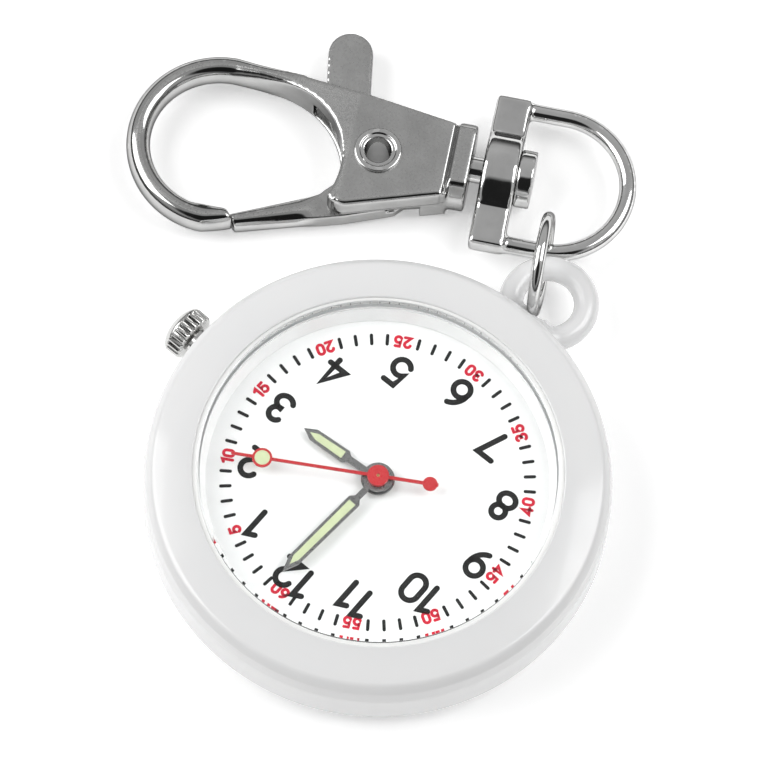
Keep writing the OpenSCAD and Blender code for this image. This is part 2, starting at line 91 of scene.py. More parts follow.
# the hook's bend, its faces, and how much further apart they are at the cheeks
HOOK_X, HOOK_Y, HOOK_RADIUS, HOOK_HALF = -19.05, -1.9, 6.2, 0.8
HOOK_LOW, HOOK_HIGH = -1.2, 1.1
CHEEK_DROP, CHEEK_RISE = 1.2, 1.3
GATE_LOW, GATE_HIGH = -1.7, 0.1
GROOVE_X, GROOVE_DEPTH, GROOVE_HALF = -1.6, 0.26, 0.14


def mm_box(node):
    """A node's lowest and highest corners in millimetres."""
    low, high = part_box(node)
    return low / MM, high / MM


# ---------------------------------------------------------------- materials


class Tree:
    """Short way to add and link the nodes of one material."""

    def __init__(self, name):
        self.material = bpy.data.materials.new(name)
        self.material.use_nodes = True
        self.nodes = self.material.node_tree.nodes
        self.links = self.material.node_tree.links
        self.shader = self.nodes["Principled BSDF"]
        self.output = self.nodes["Material Output"]
        self.place = self.nodes.new("ShaderNodeTexCoord").outputs["Object"]

    def link(self, source, target):
        self.links.new(source, target)

    def noise(self, size_mm, detail=3.0, stretch=(1, 1, 1), coords=None):
        """Noise whose features are about size_mm across, stretched by a factor along each axis."""
        mapping = self.nodes.new("ShaderNodeMapping")
        mapping.inputs["Scale"].default_value = [1 / (size_mm * MM * s) for s in stretch]
        self.link(coords or self.place, mapping.inputs["Vector"])
        noise = self.nodes.new("ShaderNodeTexNoise")
        noise.inputs["Scale"].default_value = 1.0
        noise.inputs["Detail"].default_value = detail
        self.link(mapping.outputs["Vector"], noise.inputs["Vector"])
        return noise.outputs["Fac"]

    def spread(self, value, low, high, start=0.3, end=0.7):
        """value from start to end, mapped to low to high."""
        node = self.nodes.new("ShaderNodeMapRange")
        for name, number in (("From Min", start), ("From Max", end), ("To Min", low), ("To Max", high)):
            node.inputs[name].default_value = number
        self.link(value, node.inputs["Value"])
        return node.outputs["Result"]

    def blend(self, factor, first, second):
        """Colour between two colours, or two colour sockets."""
        node = self.nodes.new("ShaderNodeMix")
        node.data_type = "RGBA"
        self.link(factor, node.inputs["Factor"])
        for socket, colour in ((node.inputs[6], first), (node.inputs[7], second)):
            if isinstance(colour, tuple):
                socket.default_value = (*colour, 1)
            else:
                self.link(colour, socket)
        return node.outputs[2]

    def bump(self, height, strength, depth_mm):
        """Bump from a height, on top of what the shader already has."""
        node = self.nodes.new("ShaderNodeBump")
        node.inputs["Strength"].default_value = strength
        node.inputs["Distance"].default_value = depth_mm * MM
        self.link(height, node.inputs["Height"])
        if self.shader.inputs["Normal"].is_linked:
            self.link(self.shader.inputs["Normal"].links[0].from_socket, node.inputs["Normal"])
        self.link(node.outputs["Normal"], self.shader.inputs["Normal"])

    def edges(self, low=0.51, high=0.58):
        """Convex edges, where handling polishes or thins a finish."""
        geometry = self.nodes.new("ShaderNodeNewGeometry")
        return self.spread(geometry.outputs["Pointiness"], 0, 1, low, high)

    def facing_up(self, low, high):
        """1 on faces that look along the object's own Z, either way, down to 0 where they tilt away."""
        normal = self.nodes.new("ShaderNodeTexCoord").outputs["Normal"]
        split = self.nodes.new("ShaderNodeSeparateXYZ")
        self.link(normal, split.inputs[0])
        size = self.nodes.new("ShaderNodeMath")
        size.operation = "ABSOLUTE"
        self.link(split.outputs["Z"], size.inputs[0])
        return self.spread(size.outputs[0], 0, 1, low, high)

    def set(self, **values):
        for name, value in values.items():
            self.shader.inputs[name.replace("_", " ")].default_value = value


def shade(colour, factor):
    return tuple(channel * factor for channel in colour)


def surface(name, colour, rough, metal=0.0, grain_mm=0.4, vary=0.06, relief=0.01,
            stretch=(1, 1, 1), wear=0.0, **extra):
    """General finish: mottled colour, uneven roughness, fine relief and brighter worn edges."""
    tree = Tree(name)
    tree.set(Metallic=metal, **extra)
    broad = tree.spread(tree.noise(grain_mm * 12, 4), 0, 1)
    base = tree.blend(broad, shade(colour, 1 - vary), shade(colour, 1 + vary))
    if wear:
        worn = tree.spread(tree.edges(), 0, wear, 0, 1)
        base = tree.blend(worn, base, tuple(min(1.0, channel * 1.25 + 0.04) for channel in colour))
    tree.link(base, tree.shader.inputs["Base Color"])
    fine = tree.noise(grain_mm, 3, stretch)
    tree.link(tree.spread(fine, *rough), tree.shader.inputs["Roughness"])
    tree.bump(fine, 0.35, relief)
    return tree.material


def glossy_plastic():
    """White injection-moulded plastic: clear gloss, faint flow mottling and hairline scratches."""
    tree = Tree("white_plastic")
    tree.set(IOR=1.5, Coat_Weight=0.35, Coat_Roughness=0.06)
    tree.set(Subsurface_Weight=0.12, Subsurface_Scale=0.004, Subsurface_Radius=(1.0, 0.95, 0.9))
    flow = tree.spread(tree.noise(9, 3), 0, 1)
    base = tree.blend(flow, (0.80, 0.802, 0.805), (0.825, 0.825, 0.825))
    tree.link(base, tree.shader.inputs["Base Color"])
    smear = tree.spread(tree.noise(2.5, 5), 0.13, 0.24)
    tree.link(smear, tree.shader.inputs["Roughness"])
    tree.bump(tree.noise(6, 1), 0.2, 0.02)
    tree.bump(tree.noise(0.12, 2, (1, 12, 1)), 0.12, 0.002)
    return tree.material


def clear_glass():
    """Mineral glass that lets lamps through, with the faintest smears."""
    tree = Tree("mineral_glass")
    tree.set(Transmission_Weight=1.0, IOR=1.45, Specular_IOR_Level=0.25)
    tree.set(Base_Color=(0.99, 0.996, 0.993, 1))
    tree.link(tree.spread(tree.noise(4, 4), 0.0, 0.012), tree.shader.inputs["Roughness"])
    tree.bump(tree.noise(7, 1), 0.05, 0.004)
    clear = tree.nodes.new("ShaderNodeBsdfTransparent")
    clear.inputs["Color"].default_value = (0.97, 0.98, 0.98, 1)
    path = tree.nodes.new("ShaderNodeLightPath")
    mix = tree.nodes.new("ShaderNodeMixShader")
    tree.link(path.outputs["Is Shadow Ray"], mix.inputs["Fac"])
    tree.link(tree.shader.outputs["BSDF"], mix.inputs[1])
    tree.link(clear.outputs["BSDF"], mix.inputs[2])
    tree.link(mix.outputs["Shader"], tree.output.inputs["Surface"])
    return tree.material


def plated(name, colour, flat_rough, side_rough):
    """Nickel plate over a casting: grained flats, polished sides, bright worn edges."""
    tree = Tree(name)
    tree.set(Metallic=1.0, Specular_Tint=(0.25, 0.25, 0.25, 1))
    patches = tree.spread(tree.noise(2.2, 5), 0, 1)
    base = tree.blend(patches, shade(colour, 0.86), shade(colour, 1.04))
    base = tree.blend(tree.edges(0.52, 0.60), base, tuple(min(1.0, c * 1.18) for c in colour))
    tree.link(base, tree.shader.inputs["Base Color"])
    grit = tree.noise(0.16, 2)
    flat = tree.facing_up(0.972, 0.994)
    rough = tree.nodes.new("ShaderNodeMix")
    tree.link(flat, rough.inputs["Factor"])
    tree.link(tree.spread(tree.noise(0.5, 4), *side_rough), rough.inputs[2])
    tree.link(tree.spread(grit, *flat_rough), rough.inputs[3])
    tree.link(rough.outputs[0], tree.shader.inputs["Roughness"])
    height = tree.nodes.new("ShaderNodeMath")
    height.operation = "MULTIPLY"
    tree.link(grit, height.inputs[0])
    tree.link(flat, height.inputs[1])
    tree.bump(height.outputs[0], 0.5, 0.003)
    tree.bump(tree.noise(1.6, 2), 0.25, 0.02)
    return tree.material


def case_back_steel():
    """Steel plate brushed in circles about the case axis."""
    tree = Tree("case_back_steel")
    tree.set(Metallic=1.0)
    length = tree.nodes.new("ShaderNodeVectorMath")
    length.operation = "LENGTH"
    in_plane = tree.nodes.new("ShaderNodeVectorMath")
    in_plane.operation = "MULTIPLY"
    in_plane.inputs[1].default_value = (1, 1, 0)
    tree.link(tree.place, in_plane.inputs[0])
    tree.link(in_plane.outputs[0], length.inputs[0])
    radius = tree.nodes.new("ShaderNodeCombineXYZ")
    tree.link(length.outputs["Value"], radius.inputs["X"])
    rings = tree.noise(0.12, 4, coords=radius.outputs[0])
    base = tree.blend(rings, (0.50, 0.50, 0.49), (0.66, 0.66, 0.65))
    tree.link(base, tree.shader.inputs["Base Color"])
    tree.link(tree.spread(rings, 0.22, 0.42), tree.shader.inputs["Roughness"])
    tree.bump(rings, 0.4, 0.01)
    tree.bump(tree.noise(3, 3), 0.1, 0.02)
    return tree.material


def make_materials():
    """Every finish by its slot name in the record."""
    return {
        "case_plastic": glossy_plastic(),
        "case_back_steel": case_back_steel(),
        "glass": clear_glass(),
        "satin_nickel": plated("satin_nickel", (0.56, 0.56, 0.555), (0.26, 0.34), (0.06, 0.12)),
        "bright_nickel": plated("bright_nickel", (0.80, 0.80, 0.795), (0.07, 0.15), (0.05, 0.12)),
        "dial_white": surface("dial_white", (0.80, 0.80, 0.80), (0.42, 0.55), grain_mm=0.08,
                              vary=0.008, relief=0.002),
        "rehaut": surface("rehaut", (0.86, 0.86, 0.86), (0.28, 0.4), grain_mm=0.15, vary=0.02,
                          relief=0.003),
        "glass_gasket": surface("glass_gasket", (0.84, 0.84, 0.83), (0.3, 0.5), grain_mm=0.2, vary=0.02),
        "gasket": surface("gasket", (0.03, 0.03, 0.03), (0.5, 0.75), grain_mm=0.1, vary=0.2),
        "hand_steel": surface("hand_steel", (0.22, 0.22, 0.22), (0.22, 0.38), metal=1.0, grain_mm=0.06,
                              vary=0.1, relief=0.003, wear=0.7),
        "lume": surface("lume", (0.50, 0.56, 0.34), (0.7, 0.9), grain_mm=0.05, vary=0.05, relief=0.012),
        "seconds_red": surface("seconds_red", (0.43, 0.005, 0.010), (0.22, 0.38), grain_mm=0.1,
                               relief=0.003, wear=0.15, Coat_Weight=0.4),
        "bright_steel": surface("bright_steel", (0.62, 0.62, 0.61), (0.12, 0.26), metal=1.0,
                                grain_mm=0.12, vary=0.08, relief=0.004, wear=0.5),
        "holder_plastic": surface("holder_plastic", (0.78, 0.78, 0.73), (0.4, 0.6), grain_mm=0.3,
                                  vary=0.03),
        "gear_plastic": surface("gear_plastic", (0.8, 0.8, 0.76), (0.35, 0.5), grain_mm=0.2, vary=0.03),
        "gilt_plate": surface("gilt_plate", (0.72, 0.52, 0.24), (0.3, 0.45), metal=1.0, grain_mm=0.1,
                              relief=0.004, stretch=(8, 1, 1), wear=0.3),
        "brass": surface("brass", (0.68, 0.46, 0.18), (0.2, 0.35), metal=1.0, grain_mm=0.08,
                         vary=0.08, relief=0.003, wear=0.4),
        "circuit_board": surface("circuit_board", (0.01, 0.09, 0.035), (0.3, 0.45), grain_mm=0.2,
                                 vary=0.15),
        "black_resin": surface("black_resin", (0.02, 0.02, 0.02), (0.45, 0.6), grain_mm=0.1, vary=0.2),
        "coil_copper": surface("coil_copper", (0.5, 0.17, 0.05), (0.25, 0.4), metal=1.0, grain_mm=0.06,
                               vary=0.12, relief=0.02, stretch=(0.3, 8, 8)),
        "magnet": surface("magnet", (0.1, 0.1, 0.105), (0.45, 0.6), metal=0.8, grain_mm=0.1,
                          vary=0.1, relief=0.004),
    }


MATERIALS = make_materials()
BLACK_INK = surface("black_ink", (0.006, 0.006, 0.006), (0.6, 0.75), grain_mm=0.06, vary=0.25,
                    relief=0.003, Specular_IOR_Level=0.1)
RED_INK = surface("red_ink", (0.52, 0.006, 0.028), (0.5, 0.65), grain_mm=0.06, vary=0.12,
                  relief=0.003, Specular_IOR_Level=0.15)


# ---------------------------------------------------------------- mesh tools


def new_object(name, data):
    """A new object, in the scene's collection."""
    made = bpy.data.objects.new(name, data)
    bpy.context.scene.collection.objects.link(made)
    return made


def add_piece(name, mesh, slot, body, replaces=(), material=None):
    """Puts a finished mesh in the scene with its material, its body and the CAD nodes it stands for."""
    piece = new_object(name, mesh)
    mesh.materials.clear()
    mesh.materials.append(material or MATERIALS[slot])
    if replaces:
        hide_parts(*replaces)
    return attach(piece, body)


def mesh_from(name, points_mm, faces, smooth_angle=35):
    """Mesh from points in millimetres, smooth but for edges sharper than smooth_angle."""
    mesh = bpy.data.meshes.new(name)
    mesh.from_pydata([Vector(p) * MM for p in points_mm], [], faces)
    return tidy_normals(mesh, smooth_angle)


def tidy_normals(mesh, smooth_angle=35):
    """Outward normals, smooth shading and sharp edges past an angle."""
    work = bmesh.new()
    work.from_mesh(mesh)
    bmesh.ops.recalc_face_normals(work, faces=work.faces)
    work.to_mesh(mesh)
    work.free()
    mesh.polygons.foreach_set("use_smooth", [True] * len(mesh.polygons))
    mesh.set_sharp_from_angle(angle=math.radians(smooth_angle))
    mesh.update()
    return mesh


def rounded(corners):
    """Outline through (x, y, radius) corners, each turned with an arc. A radius of 0 stays a corner."""
    points = []
    count = len(corners)
    for i, (x, y, radius) in enumerate(corners):
        here = Vector((x, y))
        before = Vector(corners[i - 1][:2]) - here
        after = Vector(corners[(i + 1) % count][:2]) - here
        if radius <= 0:
            points.append(here)
            continue
        half = before.angle(after) / 2
        cut = radius / math.tan(half)
        start, end = here + before.normalized() * cut, here + after.normalized() * cut
        inward = (before.normalized() + after.normalized()).normalized()
        middle = here + inward * (radius / math.sin(half))
        first, last = start - middle, end - middle
        sweep = first.angle_signed(last) * -1
        steps = max(3, int(abs(math.degrees(sweep)) / 9))
        for k in range(steps + 1):
            turn = Matrix.Rotation(sweep * k / steps, 2)
            points.append(middle + turn @ first)
    return [tuple(p) for p in points]


def lathe(name, outline, segments=256, turn=None):
    """Closed solid of revolution about Z from a closed (radius, z) outline in millimetres."""
    rings = len(outline)
    points, faces = [], []
    for s in range(segments):
        a = math.tau * s / segments
        points += [(r * math.cos(a), r * math.sin(a), z) for r, z in outline]
    for s in range(segments):
        here, there = s * rings, (s + 1) % segments * rings
        for k in range(rings):
            n = (k + 1) % rings
            faces.append((here + k, there + k, there + n, here + n))
    if turn is not None:
        points = [turn @ Vector(p) for p in points]
    return mesh_from(name, points, faces)


def swept(name, path, radius, closed=False, sides=24):
    """Round rod of the given radius, or radii, along a path in millimetres."""
    path = [Vector(p) for p in path]
    count = len(path)
    radii = radius if isinstance(radius, (list, tuple)) else [radius] * count
    points, faces = [], []
    side = None
    for i, here in enumerate(path):
        ahead = path[(i + 1) % count] if closed else path[min(i + 1, count - 1)]
        behind = path[i - 1] if closed else path[max(i - 1, 0)]
        way = (ahead - behind).normalized()
        if side is None:
            side = way.orthogonal().normalized()
        side = (side - way * side.dot(way)).normalized()
        other = way.cross(side)
        for k in range(sides):
            a = math.tau * k / sides
            points.append(here + (side * math.cos(a) + other * math.sin(a)) * radii[i])
    for i in range(count if closed else count - 1):
        a, b = i * sides, (i + 1) % count * sides
        faces += [(a + k, b + k, b + (k + 1) % sides, a + (k + 1) % sides) for k in range(sides)]
    if not closed:
        faces += [tuple(range(sides)), tuple((count - 1) * sides + k for k in range(sides))]
    return mesh_from(name, points, faces, 50)


def relax(points, edges, weight, passes):
    """Moves each point towards the middle of its neighbours, by its weight, so that edges round off."""
    count = len(points)
    degree = np.bincount(edges.ravel(), minlength=count).astype(float)
    for _ in range(passes):
        total = np.zeros_like(points)
        for axis in range(3):
            total[:, axis] = np.bincount(edges[:, 0], points[edges[:, 1], axis], count)
            total[:, axis] += np.bincount(edges[:, 1], points[edges[:, 0], axis], count)
        points = points + (total / degree[:, None] - points) * weight[:, None]
    return points


def oval_bar(points, line, low, high, share):
    """Moves the points of a square bar so that its section is oval.

    line is the bar's middle as (x, y, half width) stations, low and high are the heights of its faces,
    and share says how far each point moves. The section grows a little, to make up for what relaxing
    takes off.
    """
    nearest = np.full(len(points), np.inf)
    across, half = np.zeros(len(points)), np.ones(len(points))
    sideways = np.zeros((len(points), 2))
    for (x0, y0, half0), (x1, y1, half1) in zip(line, line[1:]):
        step = np.array((x1 - x0, y1 - y0))
        length = math.hypot(*step)
        normal = np.array((-step[1], step[0])) / length
        offset = points[:, :2] - (x0, y0)
        part = np.clip(offset @ step / length ** 2, 0, 1)
        offset = offset - part[:, None] * step
        gap = np.hypot(offset[:, 0], offset[:, 1])
        near = gap < nearest
        nearest[near] = gap[near]
        across[near] = (offset @ normal)[near]
        half[near] = (half0 + (half1 - half0) * part)[near]
        sideways[near] = normal
    middle = (low + high) / 2
    u, v = across / half, (points[:, 2] - middle) / ((high - low) / 2)
    square = np.maximum(np.abs(u), np.abs(v))
    oval = (np.abs(u) ** OVAL_POWER + np.abs(v) ** OVAL_POWER) ** (1 / OVAL_POWER)
    growth = (OVAL_GROWTH * square / np.maximum(oval, 1e-6) - 1) * share * (nearest < OVAL_REACH)
    moved = points.copy()
    moved[:, :2] += sideways * (across * growth)[:, None]
    moved[:, 2] += (points[:, 2] - middle) * growth
    return moved


def evaluated_mesh(thing):
    """The mesh of an object as its modifiers leave it."""
    graph = bpy.context.evaluated_depsgraph_get()
    return bpy.data.meshes.new_from_object(thing.evaluated_get(graph))


def remeshed(node, placing, voxel_mm):
    """A CAD node's mesh in small even faces and in the axes of placing."""
    source = NODES[node].data.copy()
    source.transform(placing.inverted())
    holder = new_object(node + "_source", source)
    remesh = holder.modifiers.new("fine", "REMESH")
    remesh.mode = "VOXEL"
    remesh.voxel_size = voxel_mm * MM
    mesh = evaluated_mesh(holder)
    bpy.data.objects.remove(holder)
    return mesh


def read_points(mesh):
    """A mesh's points in millimetres, one to a row."""
    flat = np.empty(len(mesh.vertices) * 3)
    mesh.vertices.foreach_get("co", flat)
    return flat.reshape(-1, 3) / MM


def read_edges(mesh):
    """The two points of each edge, one edge to a row."""
    flat = np.empty(len(mesh.edges) * 2, dtype=np.int64)
    mesh.edges.foreach_get("vertices", flat)
    return flat.reshape(-1, 2)


def write_points(mesh, points):
    mesh.vertices.foreach_set("co", (points * MM).ravel())


def swelled(mesh, points, share):
    """The mesh's new points, moved out along its normals by a share of SOFTENED_SWELL."""
    write_points(mesh, points)
    normals = np.empty(len(points) * 3)
    mesh.vertex_normals.foreach_get("vector", normals)
    return points + normals.reshape(-1, 3) * (SOFTENED_SWELL * share)[:, None]


def cast_copy(node, placing, voxel_mm, passes, softer=None, soft_passes=0, shape=None):
    """A CAD node's shape with the soft edges of a casting, remeshed and relaxed in the axes of placing.

    shape and softer take points in millimetres in those axes. shape moves them before they are relaxed.
    softer gives the share of the extra passes each one gets. Those passes thin a bar, so the softened
    share is swelled back.
    """
    mesh = remeshed(node, placing, voxel_mm)
    points, edges = read_points(mesh), read_edges(mesh)
    if shape is not None:
        points = shape(points)
    points = relax(points, edges, np.full(len(points), 0.5), passes)
    if softer is not None:
        share = softer(points)
        points = swelled(mesh, relax(points, edges, 0.5 * share, soft_passes), share)
    write_points(mesh, points)
    mesh.transform(placing)
    mesh.materials.clear()
    return tidy_normals(mesh, 60)


# ---------------------------------------------------------------- case and glass


def drilled(mesh, x_low, x_high, z, radius):
    """The mesh with a round hole along X, at y 0 and a height z, in millimetres."""
    work = bmesh.new()
    middle = Vector(((x_low + x_high) / 2, 0, z)) * MM
    placing = Matrix.Translation(middle) @ Matrix.Rotation(math.pi / 2, 4, "Y")
    bmesh.ops.create_cone(work, cap_ends=True, segments=48, radius1=radius * MM, radius2=radius * MM,
                          depth=(x_high - x_low) * MM, matrix=placing)
    drill_mesh = bpy.data.meshes.new("drill")
    work.to_mesh(drill_mesh)
    work.free()
    drill = new_object("drill", drill_mesh)
    block = new_object("block", mesh)
    cut = block.modifiers.new("hole", "BOOLEAN")
    cut.operation = "DIFFERENCE"
    cut.object = drill
    result = evaluated_mesh(block)
    for thing in (drill, block):
        bpy.data.objects.remove(thing)
    return result


def build_case():
    """Case shell with a rounded bezel edge and a hole for the stem, and the bail loop."""
    low, high = mm_box("case")
    radius, top = -low.x, high.z
    back_seat, back_seat_top = 14.6, 1.7
    bore, shelf = 13.9, 5.6
    gasket, gasket_wall = mm_box("crystal_gasket")[1].x, 0.55
    glass_bottom = mm_box("crystal")[0].z
    outline = rounded([
        (back_seat, low.z, 0), (back_seat, back_seat_top, 0), (bore, back_seat_top, 0), (bore, shelf, 0),
        (gasket - gasket_wall, shelf, 0), (gasket - gasket_wall, glass_bottom, 0),
        (gasket, glass_bottom, 0), (gasket, top - 0.02, 0.13), (16.66, 6.62, 0.7),
        (17.22, 6.0, 0.45), (radius, 4.9, 0.6), (radius, low.z, 0.85)])
    crown_low, crown_high = mm_box("crown")
    stem_z = (crown_low.z + crown_high.z) / 2
    shell = drilled(lathe("case_shell", outline, 360), -19, -13, stem_z, 1.1)
    add_piece("case_shell", shell, "case_plastic", "watch", ["case"])
    build_loop(high.y)


def build_loop(end_y):
    """Bail loop: a full ring with a flared root where it meets the case wall."""
    section, ring, height = 0.95, 2.85, 3.0
    wall, flare, flare_reach = 17.4, 0.45, 0.9
    centre = Vector((0, end_y - ring - section, height))
    steps = 96
    path, radii = [], []
    for i in range(steps):
        a = math.tau * i / steps
        point = centre + Vector((math.cos(a), math.sin(a), 0)) * ring
        gap = math.hypot(point.x, point.y) - wall
        path.append(point)
        radii.append(section + flare * max(0.0, 1 - max(gap, 0) / flare_reach) ** 2)
    add_piece("bail_loop", swept("bail_loop", path, radii, True, 40), "case_plastic", "watch")


def build_glass():
    """Crystal with a polished bevel, lathed from its CAD box."""
    low, high = mm_box("crystal")
    bevel = 0.16
    outline = rounded([(0.0, low.z, 0), (high.x, low.z, 0.05), (high.x, high.z - bevel, 0.03),
                       (high.x - bevel, high.z, 0.03), (0.0, high.z, 0)])
    glass = lathe("watch_glass", outline)
    work = bmesh.new()
    work.from_mesh(glass)
    bmesh.ops.remove_doubles(work, verts=work.verts, dist=1e-7)
    work.to_mesh(glass)
    work.free()
    add_piece("watch_glass", tidy_normals(glass, 25), "glass", "watch", ["crystal"])


def build_crown():
    """Fluted crown with a domed end, on the stem's axis."""
    low, high = mm_box("crown")
    radius = (high.z - low.z) / 2
    axis_z = (high.z + low.z) / 2
    end = -low.x
    flutes, depth, per = 22, 0.17, 10
    drawn_radius = 1.84
    # (distance from the watch's axis, radius, share of the flutes' depth)
    stations = [
        (15.5, 0.7, 0), (18.02, 0.7, 0), (18.06, 1.3, 0), (18.06, 1.66, 0), (18.12, 1.76, 0.6),
        (18.2, 1.82, 1), (19.12, drawn_radius, 1), (19.18, drawn_radius, 0.6), (19.22, drawn_radius, 0),
        (19.30, 1.83, 0), (19.42, 1.75, 0), (19.56, 1.60, 0), (19.70, 1.38, 0), (19.82, 1.10, 0),
        (19.92, 0.76, 0), (19.98, 0.40, 0), (end, 0.0, 0)]
    scale = radius / drawn_radius
    points, faces = [], []
    count = flutes * per
    for along, r, fluted in stations:
        for k in range(count):
            a = math.tau * k / count
            groove = max(0.0, 1 - abs((k % per) / per - 0.5) * 3.1) ** 0.7
            reach = r * scale - depth * fluted * groove
            points.append((-along, reach * math.cos(a), axis_z + reach * math.sin(a)))
    for s in range(len(stations) - 1):
        a, b = s * count, (s + 1) * count
        faces += [(a + k, b + k, b + (k + 1) % count, a + (k + 1) % count) for k in range(count)]
    faces.append(tuple(range(count)))
    mesh = mesh_from("crown_cap", points, faces, 42)
    add_piece("crown_cap", mesh, "bright_steel", "crown", ["crown"])


# ---------------------------------------------------------------- dial print


def arc(cx, cy, rx, ry, start, end, steps=18):
    """Points along part of an ellipse, angles in degrees."""
    angles = [math.radians(start + (end - start) * i / steps) for i in range(steps + 1)]
    return [(cx + rx * math.cos(a), cy + ry * math.sin(a)) for a in angles]


# Each digit as its width and its strokes, in a box 1 high
DIGITS = {
    "0": (0.60, [arc(0.30, 0.70, 0.30, 0.30, 0, 180) + arc(0.30, 0.30, 0.30, 0.30, 180, 360)
                 + [(0.60, 0.70)]]),
    "1": (0.30, [[(0.0, 0.86), (0.28, 1.0), (0.28, 0.0)]]),
    "2": (0.60, [arc(0.30, 0.70, 0.29, 0.30, 165, -35) + [(0.02, 0.0), (0.62, 0.0)]]),
    "3": (0.60, [arc(0.29, 0.75, 0.25, 0.25, 150, -90) + arc(0.29, 0.26, 0.30, 0.26, 90, -155)]),
    "4": (0.64, [[(0.66, 0.26), (0.0, 0.26), (0.46, 1.0), (0.46, 0.0)]]),
    "5": (0.60, [[(0.54, 1.0), (0.12, 1.0), (0.05, 0.50)] + arc(0.29, 0.31, 0.31, 0.31, 128, -150)]),
    "6": (0.60, [arc(0.30, 0.30, 0.30, 0.30, 160, 520, 30), arc(0.62, 0.36, 0.61, 0.64, 172, 108)]),
    "7": (0.60, [[(0.0, 1.0), (0.60, 1.0), (0.20, 0.0)]]),
    "8": (0.60, [arc(0.30, 0.755, 0.245, 0.245, 0, 360, 30), arc(0.30, 0.265, 0.30, 0.265, 0, 360, 30)]),
    "9": (0.60, [arc(0.30, 0.70, 0.30, 0.30, 0, 360, 30), arc(-0.02, 0.64, 0.61, 0.64, -8, -72)]),
}


def ribbon(path, half):
    """A flat stroke's path, its left and right edges with mitred turns, and whether it closes."""
    path = [Vector(p) for p in path]
    closed = (path[0] - path[-1]).length < 1e-6
    if closed:
        path = path[:-1]
    count = len(path)
    left, right = [], []
    for i, here in enumerate(path):
        behind = path[i - 1] if closed or i else here - (path[1] - here)
        ahead = path[(i + 1) % count] if closed or i < count - 1 else here + (here - path[i - 1])
        first = (here - behind).normalized()
        second = (ahead - here).normalized()
        tangent = (first + second).normalized()
        across = Vector((-tangent.y, tangent.x))
        reach = half / max(0.45, across.dot(Vector((-first.y, first.x))))
        left.append(here + across * reach)
        right.append(here - across * reach)
    return path, left, right, closed


def stroke_mesh(strokes, half, z_low, z_high):
    """Printed strokes as thin slabs with round ends and no underside, as points and faces."""
    points, faces = [], []

    def slab(outline):
        base, n = len(points), len(outline)
        points.extend((x, y, z_low) for x, y in outline)
        points.extend((x, y, z_high) for x, y in outline)
        faces.append(tuple(base + n + k for k in range(n)))
        for k in range(n):
            j = (k + 1) % n
            faces.append((base + k, base + j, base + n + j, base + n + k))

    for stroke in strokes:
        path, left, right, closed = ribbon(stroke, half)
        count = len(path)
        for i in range(count if closed else count - 1):
            j = (i + 1) % count
            slab([tuple(right[i]), tuple(right[j]), tuple(left[j]), tuple(left[i])])
        if not closed:
            for end, inner in ((path[0], path[1]), (path[-1], path[-2])):
                way = (end - inner).normalized()
                start = math.degrees(math.atan2(way.y, way.x)) - 90
                slab(arc(end.x, end.y, half, half, start, start + 180, 10))
    return points, faces


def number_strokes(text, height, gap, at, turn):
    """Strokes of a number centred on a point, with its top towards the direction turn, in radians."""
    widths = [DIGITS[c][0] for c in text]
    total = sum(widths) + gap * (len(text) - 1)
    pen, strokes = -total / 2, []
    spin = Matrix.Rotation(turn - math.pi / 2, 2)
    for c, width in zip(text, widths):
        for stroke in DIGITS[c][1]:
            upright = [Vector((pen + x, y - 0.5)) * height for x, y in stroke]
            strokes.append([tuple(Vector(at) + spin @ point) for point in upright])
        pen += width + gap
    return strokes


def on_dial(minute, radius):
    """Point on the dial at a minute, and that minute's outward direction in radians."""
    angle = math.radians(DIAL_TURN - 90 - 6 * minute)
    return (radius * math.cos(angle), radius * math.sin(angle)), angle


def print_piece(name, strokes, half, material):
    top = mm_box("dial")[1].z
    points, faces = stroke_mesh(strokes, half, top - PRINT_BELOW, top + PRINT_ABOVE)
    add_piece(name, mesh_from(name, points, faces, 20), "dial_white", "watch", material=material)


def build_dial_print():
    """Minute ticks, red minute numbers and black hour numbers."""
    ticks = []
    for minute in range(60):
        if minute % 5:
            inner, _ = on_dial(minute, TICK_INNER)
            outer, _ = on_dial(minute, TICK_OUTER)
            ticks.append([inner, outer])
    print_piece("minute_ticks", ticks, TICK_HALF, BLACK_INK)

    red = []
    for minute in range(5, 65, 5):
        at, outward = on_dial(minute, MINUTE_RADIUS)
        flipped = 20 <= minute <= 40
        top_way = outward + math.pi * flipped
        red += number_strokes(str(minute), MINUTE_HEIGHT, MINUTE_GAP, at, top_way)
    print_piece("minute_numbers", red, MINUTE_HALF, RED_INK)

    upright = math.radians(DIAL_TURN - 90)
    hours = []
    for hour in range(1, 13):
        at, _ = on_dial(5 * hour, ODD_HOUR_RADII.get(hour, HOUR_RADIUS))
        at = (at[0] + HOUR_SHIFT[0], at[1] + HOUR_SHIFT[1])
        hours += number_strokes(str(hour), HOUR_HEIGHT, HOUR_GAP, at, upright)
    print_piece("hour_numbers", hours, HOUR_HALF, BLACK_INK)


# ---------------------------------------------------------------- clasp and rings


def clasp_placing():
    """Matrix from the clasp's own axes, x along the swivel and y towards the tab, to the row frame."""
    swivel = JOINTS["clasp_swivel"]
    along = Vector(swivel["axis"])
    angle = math.atan2(along.y, along.x)
    return Matrix.Translation(Vector(swivel["pos_m"])) @ Matrix.Rotation(angle, 4, "Z")


